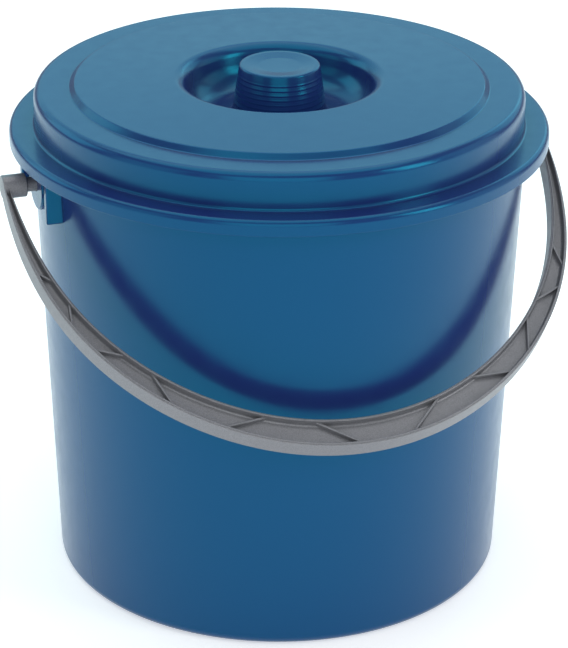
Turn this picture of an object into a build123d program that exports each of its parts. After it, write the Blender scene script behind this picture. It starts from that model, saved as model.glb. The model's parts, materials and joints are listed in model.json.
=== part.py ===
from build123d import *
import math
import os

# A household wash bucket of about 11 litres with its own lid and a swinging bail handle.
# Millimetres. +Z is up, the origin is the centre of the base on the ground, and the handle
# turns about an axis along X. It is drawn lowered in front of the tub (-Y), near its low stop.
# The bucket is three injection mouldings: the tub, the lid and the handle.

# Driving sizes
lid_radius = 140.0            # outside of the lid's skirt
rim_top = 244.9               # top of the tub's rim, where the lid sits
base_radius = 119.0           # the tub wall's outside, carried down to the ground
wall_draft = 0.038            # the wall leans out this much per millimetre of height
wall = 1.8                    # thickness of the tub and of the lid
pivot_height = 226.0          # height of the handle's axis
handle_rest_tilt = 33.5       # degrees that the resting handle hangs below horizontal
handle_shift = -1.3           # the handle sits this far off centre along its axis, within its play

# Tub
base_corner_radius = 5.6
foot_inner_radius = 106.0     # the tub stands on a ring, and the base inside it is raised
foot_recess = 3.0
foot_ring_draft = 1.0         # half of what the ring's inner side leans
floor_corner_radius = 4.0     # between the wall and the floor inside
rim_lip_radius = 137.6        # the rim turns out, then down
rim_lip_height = 4.5

# Ears, one on each side of the tub
ear_face = 130.9              # distance of the ear's flat face from the middle
ear_radius = 13.6
stay_near = 23.0              # each ear has a flat stay in front and one behind, under the rim
stay_far = 28.0
stay_reach = 132.2
stay_bottom = 214.0
pocket_radius = 6.5           # closed pocket inside the wall that takes the handle's pin
pocket_depth = 121.0          # distance of the pocket's inner end from the middle

# Handle pins, one on each arm
pin_radius = 3.8
pin_clearance = 0.08
pin_tip = 123.6               # distance of the pin's end from the middle
bead_radius = 4.1             # the pin's end bead snaps behind the bore's mouth
bead_length = 1.5
bead_back = 0.2               # room behind the bead at the end of its play
groove_clearance = 0.15
end_play = 1.5                # the pins slide this far either way along their axis
hub_radius = 6.1
hub_inner_end = 134.8

# Handle bow, an I-section whose web lies in the plane of the bow
arm_reach = 145.6             # mid-line of the arm at the axis
bow_reach = 170.9             # mid-line of the bow at its middle
bow_squareness = 1.5          # how far the bow bulges beyond that at 45 degrees
arm_fullness = 1.6            # how much more it bulges towards the arms than towards the grip
arm_depth = 2.6               # depth of the section at the arms
grip_depth = 15.1             # depth of the section at the middle
bow_width = 10.9              # width of the flanges
hub_width = 9.0               # the arms narrow to this at the hubs
taper_length = 32.0
flange = 1.6                  # thickness of the flanges
web = 2.0                     # thickness of the web
rib_thickness = 1.2
rib_height = 2.6              # height of the ribs above the web
rib_slope = 30.0              # degrees between a rib and the bow
rib_pattern_shift = 5.0       # the zigzag of ribs sits this many degrees off the middle
rib_spread = (0.0, 16.0, 31.0, 42.8, 52.7, 62.3)   # degrees from the zigzag's own middle
bow_steps = 24                # points that each curved outline of the bow is drawn through

# Lid
skirt_height = 6.1            # the skirt hangs this far below the rim's top
flange_top = rim_top + wall
plateau_radius = 127.0        # raised top of the lid
plateau_top = 265.7
step_radius = 107.2           # small raised step on the plateau
step_height = 2.75
step_ramp = 1.4               # half of what the step's side spreads
dish_rim_top = 269.9          # finger dish round the knob: a bowl with a steep side
dish_floor = 250.0
dish_top_radius = 49.7        # its side, carried up to the rim's height
dish_floor_radius = 45.5      # its side, carried down to the floor
dish_shoulder = 6.5           # rounding of its rim
dish_bowl = 14.0              # rounding between its side and its floor
knob_radius = 20.7
knob_foot_radius = 24.7
knob_top = 276.4
knob_ring_count = 7           # fine grip rings round the knob
knob_ring_pitch = 2.45
knob_ring_first = 5.0         # depth of the first one below the knob's top
knob_ring_radius = 0.45
knob_ring_height = 0.3        # how far a ring stands out
skirt_clearance = 0.6         # between the lid's skirt and the tub's rim


def wall_radius(height):
    """Outside radius of the tub's wall at a height."""
    return base_radius + wall_draft * height


def turned(*lines):
    """Solid of revolution about Z from lines that outline half a section in the XZ plane."""
    return revolve(Plane.XZ * make_face(Curve() + list(lines)), Axis.Z)


def peg(radius, near, far, side):
    """Cylinder along the handle's axis, from one distance off the middle to another."""
    middle = side * (near + far) / 2
    return Pos(middle, 0, pivot_height) * Rot(Y=90) * Cylinder(radius, far - near)


def tub_body():
    """Tub wall, base and rim as a filled shape."""
    rim_under = rim_top - wall
    lip_bottom = rim_top - rim_lip_height
    lip_inner = rim_lip_radius - wall
    outside = FilletPolyline(
        (0, foot_recess),
        (foot_inner_radius - foot_ring_draft, foot_recess),
        (foot_inner_radius + foot_ring_draft, 0),
        (base_radius, 0),
        (wall_radius(rim_under), rim_under),
        (lip_inner, rim_under),
        (lip_inner, lip_bottom),
        (rim_lip_radius, lip_bottom),
        (rim_lip_radius, rim_top),
        (0, rim_top),
        radius=(1.0, 0.8, base_corner_radius, 1.0, 0.6, 0, 0.5, 1.6),
    )
    return turned(outside, Line((0, rim_top), (0, foot_recess)))


def tub_cavity():
    """Space inside the tub."""
    floor = foot_recess + wall
    above = rim_top + wall
    inside = FilletPolyline(
        (0, floor),
        (wall_radius(floor) - wall, floor),
        (wall_radius(above) - wall, above),
        (0, above),
        radius=(floor_corner_radius, 0),
    )
    return turned(inside, Line((0, above), (0, floor)))


def ear_outside(side):
    """Round boss and two flat stays that stand out from the wall under the rim."""
    inside_wall = pocket_depth
    ear = peg(ear_radius, inside_wall, ear_face, side)
    length = stay_reach - inside_wall
    height = rim_top - wall / 2 - stay_bottom
    for front in (-1, 1):
        place = Pos(
            side * (inside_wall + length / 2),
            front * (stay_near + stay_far) / 2,
            stay_bottom + height / 2,
        )
        ear += place * Box(length, stay_far - stay_near, height)
    return ear


def tub():
    """Tub with its rim, ears and pin pockets."""
    body = tub_body() + ear_outside(-1) + ear_outside(1)
    body -= tub_cavity()
    bore = pin_radius + pin_clearance
    bore_end = pin_tip - end_play
    groove_end = pin_tip + bead_length + end_play + bead_back
    for side in (-1, 1):
        body += peg(pocket_radius, pocket_depth, wall_radius(pivot_height) - wall / 2, side)
        body -= peg(bore, bore_end, stay_reach, side)
        body -= peg(bead_radius + groove_clearance, bore_end, groove_end, side)
    return body


def lid():
    """Lid with its skirt, raised top, finger dish and hollow knob."""
    skirt_bottom = rim_top - skirt_height
    skirt_inner = rim_lip_radius + skirt_clearance
    step_top = plateau_top + step_height
    side_lean = (dish_top_radius - dish_floor_radius) / (dish_rim_top - dish_floor)
    under_shift = wall * math.hypot(1, side_lean)
    top = FilletPolyline(
        (0, knob_top),
        (knob_radius, knob_top),
        (knob_foot_radius, dish_floor),
        (dish_floor_radius, dish_floor),
        (dish_top_radius, dish_rim_top),
        (step_radius - step_ramp, step_top),
        (step_radius + step_ramp, plateau_top),
        (plateau_radius, plateau_top),
        (plateau_radius, flange_top),
        (lid_radius, flange_top),
        (lid_radius, skirt_bottom),
        radius=(1.2, 3.0, dish_bowl, dish_shoulder, 1.2, 1.2, 4.5, 1.5, 3.0),
    )
    under = FilletPolyline(
        (skirt_inner, skirt_bottom),
        (skirt_inner, rim_top),
        (plateau_radius - wall, rim_top),
        (plateau_radius - wall, plateau_top - wall),
        (step_radius, plateau_top - wall),
        (step_radius - 2 * step_ramp, step_top - wall),
        (dish_top_radius + under_shift - side_lean * wall, dish_rim_top - wall),
        (dish_floor_radius + under_shift - side_lean * wall, dish_floor - wall),
        (knob_foot_radius - wall, dish_floor - wall),
        (knob_radius - wall, knob_top - wall),
        (0, knob_top - wall),
        radius=(1.3, 0.5, 2.7, 1.2, 1.2, dish_shoulder - wall, dish_bowl + wall, 1.0, 0.5),
    )
    shell = turned(
        top,
        Line((lid_radius, skirt_bottom), (skirt_inner, skirt_bottom)),
        under,
        Line((0, knob_top - wall), (0, knob_top)),
    )
    for ring in range(knob_ring_count):
        drop = knob_ring_first + ring * knob_ring_pitch
        share = drop / (knob_top - dish_floor)
        radius = knob_radius + share * (knob_foot_radius - knob_radius)
        centre = radius + knob_ring_height - knob_ring_radius
        shell += Pos(0, 0, knob_top - drop) * Torus(centre, knob_ring_radius)
    return shell


def section_depth(angle):
    """Depth of the bow's section at an angle round the bow, in degrees from the right arm."""
    return arm_depth + (grip_depth - arm_depth) * math.sin(math.radians(angle))


def bow_point(angle, offset):
    """Point of the bow in its own plane, offset outwards from the mid-line."""
    turn = math.radians(angle)
    bulge = bow_squareness + arm_fullness * math.cos(2 * turn)
    reach = arm_reach + (bow_reach - arm_reach) * math.sin(turn) ** 2
    reach += bulge * math.sin(2 * turn) ** 2 + offset
    return (reach * math.cos(turn), -reach * math.sin(turn))


def bow_band(nearest, furthest, width):
    """Slab that follows the bow between two offsets, each a function of the angle."""
    angles = [180 * step / bow_steps for step in range(bow_steps + 1)]
    outer = [bow_point(angle, furthest(angle)) for angle in angles]
    inner = [bow_point(angle, nearest(angle)) for angle in angles]
    outline = Curve() + [
        Spline(*outer, tangents=((0, -1), (0, 1))),
        Line(outer[-1], inner[-1]),
        Spline(*inner[::-1], tangents=((0, -1), (0, 1))),
        Line(inner[0], outer[0]),
    ]
    return extrude(make_face(outline), width / 2, both=True)


def i_section():
    """Two flanges joined by a web."""
    def face(angle):
        return section_depth(angle) / 2

    def back(angle):
        return max(face(angle) - flange, 0)

    outer_flange = bow_band(back, face, bow_width)
    inner_flange = bow_band(lambda a: -face(a), lambda a: -back(a), bow_width)
    middle = bow_band(lambda a: flange / 2 - face(a), lambda a: face(a) - flange / 2, web)
    return outer_flange + inner_flange + middle


def zigzag_rib(angle, leaning):
    """Low rib across the channel, from one flange to the other."""
    channel = section_depth(angle) - flange   # between the middles of the two flanges
    half_span = channel / 2 / math.tan(math.radians(rib_slope))
    swing = leaning * math.degrees(half_span / bow_reach)
    outer = Vector(*bow_point(angle + swing, channel / 2))
    inner = Vector(*bow_point(angle - swing, -channel / 2))
    along = outer - inner
    middle = (outer + inner) / 2
    heading = math.degrees(math.atan2(along.Y, along.X))
    height = web + 2 * rib_height
    return Pos(middle.X, middle.Y, 0) * Rot(Z=heading) * Box(along.length, rib_thickness, height)


def arm_taper():
    """Side view of the bow: the arms widen from the hubs to the full flange width."""
    end = -(bow_reach + grip_depth)           # safely past the bow
    outline = Polyline(
        (0, hub_width / 2),
        (-taper_length, bow_width / 2),
        (end, bow_width / 2),
        (end, -bow_width / 2),
        (-taper_length, -bow_width / 2),
        (0, -hub_width / 2),
        close=True,
    )
    return extrude(Plane.YZ * make_face(outline), bow_reach, both=True)


def handle():
    """Handle with its hubs and pins, turned down to where it rests."""
    bow = i_section()
    leaning = -1
    for spread in rib_spread:
        for direction in ((1,) if spread == 0 else (-1, 1)):
            angle = 90 + rib_pattern_shift + direction * spread
            bow += zigzag_rib(angle, leaning)
        leaning = -leaning
    bow &= arm_taper()
    bow = Pos(0, 0, pivot_height) * Rot(X=handle_rest_tilt) * bow
    for side in (-1, 1):
        bow += peg(hub_radius, hub_inner_end, arm_reach + arm_depth / 2, side)
        bow += peg(pin_radius, pin_tip, hub_inner_end + arm_depth / 2, side)
        bow += peg(bead_radius, pin_tip, pin_tip + bead_length, side)
    return Pos(handle_shift, 0, 0) * bow


os.makedirs("parts", exist_ok=True)
export_step(tub(), "parts/tub.step")
export_step(lid(), "parts/lid.step")
export_step(handle(), "parts/handle.step")
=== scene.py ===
import bpy
import bmesh
import json
import math
from mathutils import Matrix, Vector


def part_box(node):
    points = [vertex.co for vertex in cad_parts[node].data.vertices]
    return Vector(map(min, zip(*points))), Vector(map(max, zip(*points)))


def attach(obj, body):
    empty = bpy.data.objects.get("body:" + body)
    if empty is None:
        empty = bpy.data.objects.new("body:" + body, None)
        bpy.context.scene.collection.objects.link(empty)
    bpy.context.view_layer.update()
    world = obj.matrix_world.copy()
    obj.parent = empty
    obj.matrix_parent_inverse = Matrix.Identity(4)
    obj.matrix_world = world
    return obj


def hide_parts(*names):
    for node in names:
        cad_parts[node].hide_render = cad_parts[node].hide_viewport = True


# A household wash bucket: a blue tub and lid moulded in glossy polypropylene, and a silver-grey
# bail handle. Lengths in the shape functions are millimetres, and a finished mesh is scaled to
# metres. The frame's +Z is up and the handle rests at the front, towards -Y.

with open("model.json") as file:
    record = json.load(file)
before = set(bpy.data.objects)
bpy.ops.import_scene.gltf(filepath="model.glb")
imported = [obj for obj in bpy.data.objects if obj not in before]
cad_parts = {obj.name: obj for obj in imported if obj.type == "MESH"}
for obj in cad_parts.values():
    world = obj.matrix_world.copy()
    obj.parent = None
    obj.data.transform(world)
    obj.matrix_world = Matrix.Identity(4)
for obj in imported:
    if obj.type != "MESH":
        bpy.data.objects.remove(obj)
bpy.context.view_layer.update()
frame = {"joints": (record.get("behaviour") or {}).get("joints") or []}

MM = 0.001
tub_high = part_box("tub")[1] / MM
lid_low, lid_high = (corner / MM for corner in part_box("lid"))
handle_low, handle_high = (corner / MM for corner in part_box("handle"))
swing = next(j for j in frame["joints"] if j["name"] == "handle_swing")

# Sizes that the frame gives
rim_top = tub_high.z
knob_top = lid_high.z
skirt_bottom = lid_low.z
lid_radius = lid_high.x
rim_lip_radius = tub_high.x
pivot_height = swing["pos_m"][2] / MM
handle_middle = (handle_low.x + handle_high.x) / 2   # the handle sits off centre, within its play
arm_face = (handle_high.x - handle_low.x) / 2        # outside faces of its arms, from there

# Sizes of the mouldings
wall = 1.8
base_radius = 119.0
wall_draft = 0.038
handle_rest_tilt = 33.5                  # degrees below horizontal

# How finely the shapes are drawn
rounds = 8                               # steps that a rounded corner is drawn in
turn_steps = 240                         # steps round a turned moulding
bow_steps = 200                          # steps from one end of the handle's bow to the other


# ---------------------------------------------------------------- meshes

def finished(name, bm, material, body, slot, *nodes):
    """Turns a bmesh in millimetres into a piece that rides on a body."""
    bmesh.ops.scale(bm, vec=(MM, MM, MM), verts=bm.verts)
    mesh = bpy.data.meshes.new(name)
    bm.to_mesh(mesh)
    bm.free()
    mesh.shade_smooth()
    piece = bpy.data.objects.new(name, mesh)
    bpy.context.scene.collection.objects.link(piece)
    mesh.materials.append(material)
    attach(piece, body)
    if nodes:
        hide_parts(*nodes)
    return piece


def steady_normals(piece, sharp_degrees=None):
    """Keeps wide faces flat beside their rounded edges, so that reflections run true."""
    if sharp_degrees:
        piece.data.set_sharp_from_angle(angle=math.radians(sharp_degrees))
    weighted = piece.modifiers.new("steady normals", "WEIGHTED_NORMAL")
    weighted.mode = "FACE_AREA"
    weighted.weight = 50
    weighted.keep_sharp = True


def rounded_outline(bm, corners, closed, steps=rounds):
    """Draws an outline in the XZ plane through (x, height, rounding) corners."""
    points = [bm.verts.new((x, 0, height)) for x, height, _ in corners]
    for first, second in zip(points, points[1:]):
        bm.edges.new((first, second))
    if closed:
        bm.edges.new((points[-1], points[0]))
    count = len(points)
    places = [point.co.copy() for point in points]
    for index, corner in enumerate(corners):
        rounding = corner[2]
        if rounding > 0:
            before = places[index] - places[index - 1]
            after = places[(index + 1) % count] - places[index]
            reach = rounding * math.tan(before.angle(after) / 2)
            bmesh.ops.bevel(
                bm, geom=[points[index]], offset=reach, offset_type="OFFSET",
                affect="VERTICES", segments=steps, profile=0.5, material=-1,
            )


def turned(corners, closed=False):
    """Turns an outline about Z into a closed shell. A closed outline makes a ring."""
    bm = bmesh.new()
    rounded_outline(bm, corners, closed)
    bmesh.ops.spin(
        bm, geom=bm.verts[:] + bm.edges[:], cent=(0, 0, 0), axis=(0, 0, 1), dvec=(0, 0, 0),
        angle=math.tau, steps=turn_steps, use_merge=True, use_duplicate=False,
    )
    bmesh.ops.remove_doubles(bm, verts=bm.verts, dist=0.0005)
    bmesh.ops.recalc_face_normals(bm, faces=bm.faces)
    return bm


# ---------------------------------------------------------------- materials

def linear(code):
    """Linear colour from an sRGB hex code."""
    parts = [int(code[i:i + 2], 16) / 255 for i in (1, 3, 5)]
    return [p / 12.92 if p <= 0.04045 else ((p + 0.055) / 1.055) ** 2.4 for p in parts] + [1.0]


def add(tree, kind, settings=(), **links):
    """Adds a node, sets its properties or sockets, and links sockets to other nodes' outputs."""
    node = tree.nodes.new(kind)
    for key, value in dict(settings).items():
        if key in node.inputs:
            node.inputs[key].default_value = value
        else:
            setattr(node, key, value)
    for key, source in links.items():
        tree.links.new(source, node.inputs[key.replace("_", " ")])
    return node


def noise(tree, size, detail=3.0):
    """Noise whose grains are about the given size in millimetres, fixed to the piece."""
    place = add(tree, "ShaderNodeTexCoord").outputs["Object"]
    settings = {"Scale": 1 / (size * MM), "Detail": detail}
    return add(tree, "ShaderNodeTexNoise", settings, Vector=place).outputs["Fac"]


def spread(tree, value, low, high):
    """Maps the middle of the noise, where nearly all of it lies, onto the range from low to high."""
    settings = {"From Min": 0.3, "From Max": 0.7, "To Min": low, "To Max": high}
    return add(tree, "ShaderNodeMapRange", settings, Value=value).outputs["Result"]


def mould_grain(tree, shader, size, height):
    """Slight unevenness that the mould's own finish leaves on the skin."""
    bump = add(tree, "ShaderNodeBump", {"Strength": 1.0, "Distance": height * MM}, Height=noise(tree, size))
    tree.links.new(bump.outputs["Normal"], shader.inputs["Normal"])


def moulded_blue():
    """Polypropylene coloured through, from a polished mould.

    It gives a clear, soft-edged reflection. The reflection leans towards cyan, so what mirrors
    the pale floor looks teal, and what mirrors the handle or lies in shade looks violet-blue.
    """
    material = bpy.data.materials.new("blue_polypropylene")
    material.use_nodes = True
    tree = material.node_tree
    shader = tree.nodes["Principled BSDF"]
    shader.inputs["Base Color"].default_value = linear("#1E2A63")
    shader.inputs["IOR"].default_value = 1.49
    shader.inputs["Specular IOR Level"].default_value = 1.0
    shader.inputs["Specular Tint"].default_value = linear("#00E1FF")
    tree.links.new(spread(tree, noise(tree, 9.0), 0.20, 0.26), shader.inputs["Roughness"])
    mould_grain(tree, shader, 2.5, 0.004)
    return material


def moulded_silver():
    """Polypropylene filled with a silver-grey pigment, from a satin mould.

    The pigment's flecks give a slightly metallic sheen. They are drawn coarser than they are,
    about half a millimetre, so that they show.
    """
    material = bpy.data.materials.new("silver_grey_plastic")
    material.use_nodes = True
    tree = material.node_tree
    shader = tree.nodes["Principled BSDF"]
    fleck = spread(tree, noise(tree, 0.5), 0.0, 1.0)
    tone = add(tree, "ShaderNodeMix", {"data_type": "RGBA"}, Factor=fleck)
    dark, light = (socket for socket in tone.inputs if socket.type == "RGBA")
    dark.default_value = linear("#727277")
    light.default_value = linear("#8B8C90")
    mixed = next(socket for socket in tone.outputs if socket.type == "RGBA")
    tree.links.new(mixed, shader.inputs["Base Color"])
    shader.inputs["Metallic"].default_value = 0.35
    shader.inputs["IOR"].default_value = 1.49
    tree.links.new(spread(tree, noise(tree, 4.0), 0.33, 0.41), shader.inputs["Roughness"])
    mould_grain(tree, shader, 0.8, 0.01)
    return material


# ---------------------------------------------------------------- tub and lid

def wall_radius(height):
    """Outside radius of the tub's wall."""
    return base_radius + wall_draft * height


def make_tub(material):
    """The wall, the raised base on its foot ring, and the rim with its turned-down lip."""
    foot_inner = 106.0
    foot_recess = 3.0
    lip_height = 4.5
    lip_bottom = rim_top - lip_height
    lip_inner = rim_lip_radius - wall
    under = rim_top - wall
    floor = foot_recess + wall
    bm = turned([
        (0, foot_recess, 0),
        (foot_inner - 1.5, foot_recess, 1.0),
        (foot_inner + 0.5, 0, 0.8),
        (base_radius, 0, 5.6),
        (wall_radius(under), under, 1.0),
        (lip_inner, under, 0.6),
        (lip_inner, lip_bottom, 0.3),
        (rim_lip_radius, lip_bottom, 0.5),
        (rim_lip_radius, rim_top, 1.6),
        (wall_radius(rim_top) - wall, rim_top, 0.8),
        (wall_radius(floor) - wall, floor, 4.0),
        (0, floor, 0),
    ])
    tub = finished("tub_shell", bm, material, "tub", "blue_polypropylene", "tub")
    steady_normals(tub)
    return tub


def axle_turned(corners, side):
    """Turns (radius, distance from the middle) corners about the handle's axis, on one side."""
    bm = turned(corners, closed=True)
    place = Matrix.Translation((0, 0, pivot_height)) @ Matrix.Rotation(side * math.pi / 2, 4, "Y")
    bmesh.ops.transform(bm, matrix=place, verts=bm.verts)
    return bm


def sink_into_wall(bm, deepest):
    """Moves a part's inner end into the middle of the tub's wall, so that it follows the curve."""
    for vert in bm.verts:
        if abs(vert.co.x) < deepest:
            radius = wall_radius(vert.co.z) - wall / 2
            vert.co.x = math.copysign(math.sqrt(radius ** 2 - vert.co.y ** 2), vert.co.x)


def boss(side):
    """Round boss with the hole that the handle's pin turns in."""
    face = 130.9
    radius = 13.6
    hole = 3.88
    hidden = 122.0
    bm = axle_turned([
        (hole, hidden, 0),
        (hole, face, 0.5),
        (radius, face, 1.1),
        (radius, hidden, 0),
    ], side)
    sink_into_wall(bm, hidden + 1)
    return bm


def pocket(side):
    """Closed end of the pin's pocket, which stands into the tub."""
    radius = 6.5
    inner_end = 121.0
    hidden = 126.5                       # inside the wall
    return axle_turned([
        (0, inner_end, 0),
        (radius, inner_end, 1.0),
        (radius, hidden, 0),
        (0, hidden, 0),
    ], side)


def stay(side, front):
    """Flat stay beside the boss, from the wall out and up to the rim."""
    near = 23.0
    far = 28.0
    reach = 132.2
    hidden = 118.0
    bottom = 214.0
    top = rim_top - wall / 2
    size = (reach - hidden, far - near, top - bottom)
    middle = (side * (reach + hidden) / 2, front * (near + far) / 2, (top + bottom) / 2)
    place = Matrix.Translation(middle) @ Matrix.Diagonal((*size, 1))
    bm = bmesh.new()
    bmesh.ops.create_cube(bm, size=1.0, matrix=place)
    outer = [e for e in bm.edges if all(abs(v.co.x) > hidden + 1 for v in e.verts)]
    low = [e for e in bm.edges if all(v.co.z < bottom + 1 for v in e.verts) and e not in outer]
    bmesh.ops.bevel(
        bm, geom=outer + low, offset=0.9, offset_type="OFFSET", affect="EDGES", segments=4,
        profile=0.5, material=-1,
    )
    half_reach = (reach - hidden) / 2
    long_edges = [e for e in bm.edges if abs(e.verts[0].co.x - e.verts[1].co.x) > half_reach]
    bmesh.ops.subdivide_edges(bm, edges=long_edges, cuts=1)
    sink_into_wall(bm, hidden + 1)
    return bm


def joined(parts):
    """Puts several closed shells in one bmesh."""
    whole = bmesh.new()
    for part in parts:
        mesh = bpy.data.meshes.new("part")
        part.to_mesh(mesh)
        part.free()
        whole.from_mesh(mesh)
        bpy.data.meshes.remove(mesh)
    return whole


def make_ears(material):
    """An ear on each side: a boss for the pin, its pocket, and a stay before and behind it."""
    crease = 40                          # degrees past which an edge stays crisp
    parts = []
    for side in (-1, 1):
        parts.append(boss(side))
        parts.append(pocket(side))
        parts.append(stay(side, -1))
        parts.append(stay(side, 1))
    ears = finished("tub_ears", joined(parts), material, "tub", "blue_polypropylene")
    steady_normals(ears, crease)
    return ears


def make_lid(material):
    """The lid in one skin: knob, dish, step, plateau, flange and skirt, and back underneath."""
    plateau_radius = 127.0
    plateau_top = 265.7
    step_radius = 107.2
    step_top = plateau_top + 2.75
    step_ramp = 1.4                      # half the width of the step's slope
    dish_rim_top = 269.9
    dish_floor = 250.0
    dish_top_radius = 49.7               # the dish's steep side, carried up to the rim's height
    dish_floor_radius = 45.5             # and down to the floor
    dish_shoulder = 6.5
    dish_bowl = 14.0
    knob_radius = 20.7
    knob_foot_radius = 24.7
    knob_hollow = 0.9                    # how far the knob's top dips in the middle
    ring_count = 7
    ring_first = 5.0                     # the top ring's depth under the knob's top
    ring_pitch = 2.45
    ring_half_width = 0.7
    flange_top = rim_top + wall
    skirt_gap = 0.6                      # between the skirt and the tub's rim
    skirt_inner = rim_lip_radius + skirt_gap
    side_lean = (dish_top_radius - dish_floor_radius) / (dish_rim_top - dish_floor)
    under_shift = wall * math.hypot(1, side_lean)
    rings = []
    for ring in range(ring_count):
        drop = ring_first + ring * ring_pitch
        radius = knob_radius + drop / (knob_top - dish_floor) * (knob_foot_radius - knob_radius)
        rings += [
            (radius - 0.05, knob_top - drop + ring_half_width, 0.5),
            (radius + 0.14, knob_top - drop, 0.5),
            (radius + 0.08, knob_top - drop - ring_half_width, 0.5),
        ]
    bm = turned([
        (0, knob_top - knob_hollow, 0),
        (11, knob_top - 0.8, 12),
        (18.2, knob_top, 4),
        (knob_radius, knob_top, 1.1),
        *rings,
        (knob_foot_radius, dish_floor, 3.0),
        (dish_floor_radius, dish_floor, dish_bowl),
        (dish_top_radius, dish_rim_top, dish_shoulder),
        (step_radius - step_ramp, step_top, 1.2),
        (step_radius + step_ramp, plateau_top, 1.2),
        (plateau_radius, plateau_top, 4.5),
        (plateau_radius, flange_top, 1.5),
        (lid_radius, flange_top, 3.0),
        (lid_radius, skirt_bottom, 0.4),
        (skirt_inner, skirt_bottom, 0.4),
        (skirt_inner, rim_top, 1.3),
        (plateau_radius - wall, rim_top, 0.5),
        (plateau_radius - wall, plateau_top - wall, 2.7),
        (step_radius, plateau_top - wall, 1.2),
        (step_radius - 2 * step_ramp, step_top - wall, 1.2),
        (dish_top_radius + under_shift - side_lean * wall, dish_rim_top - wall, dish_shoulder - wall),
        (dish_floor_radius + under_shift - side_lean * wall, dish_floor - wall, dish_bowl + wall),
        (knob_foot_radius - wall, dish_floor - wall, 1.0),
        (knob_radius - wall, knob_top - wall, 0.5),
        (0, knob_top - wall, 0),
    ])
    lid = finished("lid_shell", bm, material, "lid", "blue_polypropylene", "lid")
    steady_normals(lid)
    return lid


# ---------------------------------------------------------------- handle

arm_reach = 145.6                        # from the middle to the mid-line at the arms
bow_reach = 170.9                        # and from the pivot to the mid-line at the grip
bow_squareness = 1.5                     # how far the bow stands out between arm and grip
arm_fullness = 1.6                       # how much more of that is near the arms
arm_depth = 2.6
grip_depth = 15.1
bow_width = 10.9
hub_width = 9.0
taper_length = 32.0                      # over which the arms widen below the hubs
flange = 1.6
web = 2.0


def section_depth(angle):
    """Depth of the bow's section at an angle in degrees from the right arm."""
    return arm_depth + (grip_depth - arm_depth) * math.sin(math.radians(angle))


def bow_point(angle, offset):
    """Point of the bow in its own plane, offset outwards from its mid-line."""
    turn = math.radians(angle)
    bulge = bow_squareness + arm_fullness * math.cos(2 * turn)
    reach = arm_reach + (bow_reach - arm_reach) * math.sin(turn) ** 2
    reach += bulge * math.sin(2 * turn) ** 2 + offset
    return reach * math.cos(turn), -reach * math.sin(turn)


def i_section():
    """Corners of the section at the grip: two flanges, each with a parting step, and a web."""
    face = grip_depth / 2
    edge = bow_width / 2
    step_in = 0.75                       # the step that the mould's parting leaves on a flange
    step_down = 0.6
    foot = 1.3                           # rounding where the web meets a flange
    half = [
        (face, -edge, 0.5),
        (face, edge - step_down, 0.3),
        (face - step_in, edge - step_down, 0.15),
        (face - step_in, edge, 0.2),
        (face - flange, edge, 0.3),
        (face - flange, web / 2, foot),
    ]
    lower = [
        (face - flange, -web / 2, foot),
        (face - flange, -edge, 0.3),
    ]
    inner_top = [(-x, z, r) for x, z, r in reversed(half)]
    inner_low = [(-x, z, r) for x, z, r in reversed(lower)]
    return half + inner_top + inner_low + lower


def bow_bar():
    """Draws the section along a straight bar, then bends the bar onto the bow."""
    bm = bmesh.new()
    rounded_outline(bm, i_section(), True, steps=4)
    bmesh.ops.spin(
        bm, geom=bm.verts[:] + bm.edges[:], cent=(0, 0, 0), axis=(0, 0, 1), angle=0,
        dvec=(0, 180 / bow_steps, 0), steps=bow_steps, use_merge=False, use_duplicate=False,
    )
    ends = [e for e in bm.edges if e.is_boundary]
    bmesh.ops.holes_fill(bm, edges=ends, sides=0)
    whole_depth = 3.6                    # half depth under which the flanges thin with the section
    for vert in bm.verts:
        angle = vert.co.y
        inset = grip_depth / 2 - abs(vert.co.x)
        half = section_depth(angle) / 2
        inset *= min(1, half / whole_depth)
        x, y = bow_point(angle, math.copysign(half - inset, vert.co.x))
        width = hub_width + (bow_width - hub_width) * min(1, -y / taper_length)
        vert.co = (x, y, vert.co.z * width / bow_width)
    bmesh.ops.recalc_face_normals(bm, faces=bm.faces)
    return bm


def zigzag_rib(angle, leaning):
    """Low rib across the channel on both sides of the web."""
    slope = math.radians(30.0)
    thickness = 1.2
    rise = 2.6                           # above the web
    height = web + 2 * rise
    channel = section_depth(angle) - flange
    swing = leaning * math.degrees(channel / 2 / math.tan(slope) / bow_reach)
    outer = Vector(bow_point(angle + swing, channel / 2))
    inner = Vector(bow_point(angle - swing, -channel / 2))
    along = outer - inner
    middle = (outer + inner) / 2
    place = Matrix.Translation((middle.x, middle.y, 0))
    place @= Matrix.Rotation(math.atan2(along.y, along.x), 4, "Z")
    place @= Matrix.Diagonal((along.length, thickness, height, 1))
    bm = bmesh.new()
    bmesh.ops.create_cube(bm, size=1.0, matrix=place)
    long_edges = [e for e in bm.edges if e.calc_length() > max(thickness, height) + 0.1]
    bmesh.ops.bevel(
        bm, geom=long_edges, offset=0.3, offset_type="OFFSET", affect="EDGES", segments=3,
        profile=0.5, material=-1,
    )
    return bm


def pin_and_hub(side):
    """Hub at the end of an arm, with the pin and the bead that snaps behind the bore."""
    hub_radius = 6.1
    hub_end = 134.8
    pin_radius = 3.8
    pin_tip = 123.6
    bead_radius = 4.1
    bead_end = pin_tip + 1.5
    bm = turned([
        (0, pin_tip, 0),
        (bead_radius, pin_tip, 0.6),
        (bead_radius, bead_end, 0.3),
        (pin_radius, bead_end, 0.2),
        (pin_radius, hub_end, 0.3),
        (hub_radius, hub_end, 0.7),
        (hub_radius, arm_face, 0.8),
        (0, arm_face, 0),
    ])
    bmesh.ops.transform(bm, matrix=Matrix.Rotation(side * math.pi / 2, 4, "Y"), verts=bm.verts)
    return bm


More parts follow.
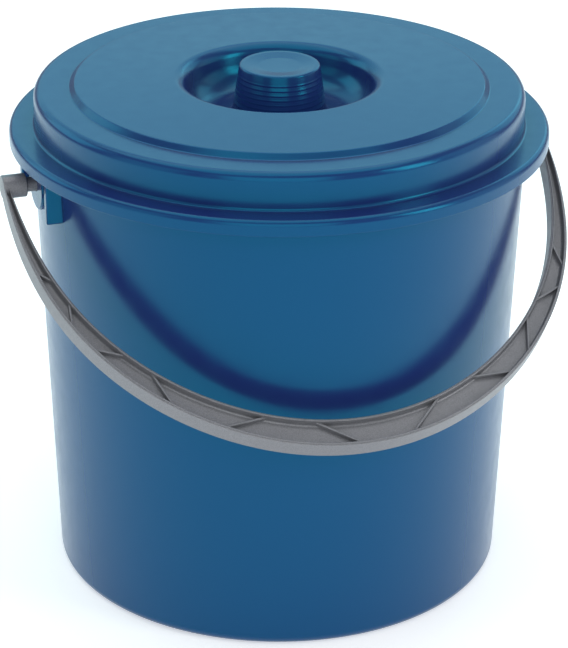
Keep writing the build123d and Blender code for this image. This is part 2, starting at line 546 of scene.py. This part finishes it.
def make_handle(material):
    """The bow with its zigzag ribs, and a hub and pin at each end."""
    spreads = (0.0, 16.0, 31.0, 42.8, 52.7, 62.3)   # degrees of the ribs from the middle one
    pattern_middle = 95.0
    crease = 38                          # degrees past which an edge stays crisp
    parts = [bow_bar(), pin_and_hub(-1), pin_and_hub(1)]
    leaning = -1
    for spread in spreads:
        for direction in ((1,) if spread == 0 else (-1, 1)):
            parts.append(zigzag_rib(pattern_middle + direction * spread, leaning))
        leaning = -leaning
    bm = joined(parts)
    place = Matrix.Translation((handle_middle, 0, pivot_height))
    place @= Matrix.Rotation(math.radians(handle_rest_tilt), 4, "X")
    bmesh.ops.transform(bm, matrix=place, verts=bm.verts)
    handle = finished("bail_handle", bm, material, "handle", "silver_grey_plastic", "handle")
    steady_normals(handle, crease)
    return handle


# ---------------------------------------------------------------- studio

def make_floor():
    """A white acrylic sheet, lit softly from below so that the shadows on it stay faint."""
    bm = bmesh.new()
    bmesh.ops.create_grid(bm, x_segments=1, y_segments=1, size=4.0)
    mesh = bpy.data.meshes.new("floor")
    bm.to_mesh(mesh)
    bm.free()
    floor = bpy.data.objects.new("floor", mesh)
    bpy.context.scene.collection.objects.link(floor)
    sheet = bpy.data.materials.new("white_acrylic_lit_from_below")
    sheet.use_nodes = True
    shader = sheet.node_tree.nodes["Principled BSDF"]
    shader.inputs["Base Color"].default_value = linear("#F4F4F4")
    shader.inputs["Roughness"].default_value = 0.9
    shader.inputs["Emission Color"].default_value = linear("#FFFFFF")
    shader.inputs["Emission Strength"].default_value = 0.45
    mesh.materials.append(sheet)


def softbox(name, place, width, height, watts, colour="#FFFFFF"):
    """An evenly lit panel that faces the middle of the bucket."""
    aim = Vector((0, 0, 0.15))
    light = bpy.data.lights.new(name, "AREA")
    light.shape = "RECTANGLE"
    light.size = width
    light.size_y = height
    light.energy = watts
    light.color = linear(colour)[:3]
    lamp = bpy.data.objects.new(name, light)
    lamp.location = place
    lamp.rotation_euler = (aim - Vector(place)).to_track_quat("-Z", "Y").to_euler()
    bpy.context.scene.collection.objects.link(lamp)


def make_camera():
    """A long lens, looking down on the bucket from in front and a little to its left."""
    distance = 1.3699
    height = 0.7634
    sideways = 0.0031
    azimuth = math.radians(18.7)
    pitch = math.radians(24.863)
    roll = math.radians(0.378)
    camera = bpy.data.cameras.new("camera")
    camera.sensor_width = 36.0
    camera.lens = 156.12667
    seat = bpy.data.objects.new("camera", camera)
    turn = Matrix.Rotation(-azimuth, 4, "Z")
    place = Matrix.Translation((sideways, -distance, height))
    look = Matrix.Rotation(math.pi / 2 - pitch, 4, "X") @ Matrix.Rotation(roll, 4, "Z")
    seat.matrix_world = turn @ place @ look
    bpy.context.scene.collection.objects.link(seat)
    bpy.context.scene.camera = seat


def make_world():
    """Faint light from all round."""
    world = bpy.data.worlds.new("studio")
    world.use_nodes = True
    background = world.node_tree.nodes["Background"]
    background.inputs["Color"].default_value = linear("#F0FAFF")
    background.inputs["Strength"].default_value = 0.3
    bpy.context.scene.world = world


make_camera()
blue = moulded_blue()
silver = moulded_silver()
make_tub(blue)
make_ears(blue)
make_lid(blue)
make_handle(silver)
make_floor()
softbox("overhead", (0, 0.2, 1.7), 1.8, 1.8, 13.0)
softbox("back", (0.3, 1.5, 1.1), 2.4, 1.2, 8.0, "#88EEFF")
softbox("back_left", (-1.3, 1.2, 1.0), 1.2, 1.0, 5.5, "#A8F2FF")
softbox("back_right", (1.6, 1.0, 1.0), 1.2, 1.0, 4.0, "#98F0FF")
softbox("right", (1.6, -0.3, 0.7), 1.0, 1.4, 2.5)
softbox("left", (-1.6, -0.3, 0.7), 1.0, 1.4, 2.5)
softbox("front_right", (1.25, -1.3, 0.95), 0.6, 1.2, 9.0)
softbox("front_left", (-0.6, -1.7, 0.9), 1.6, 1.6, 11.0)
make_world()
bpy.context.scene.view_settings.view_transform = "Standard"
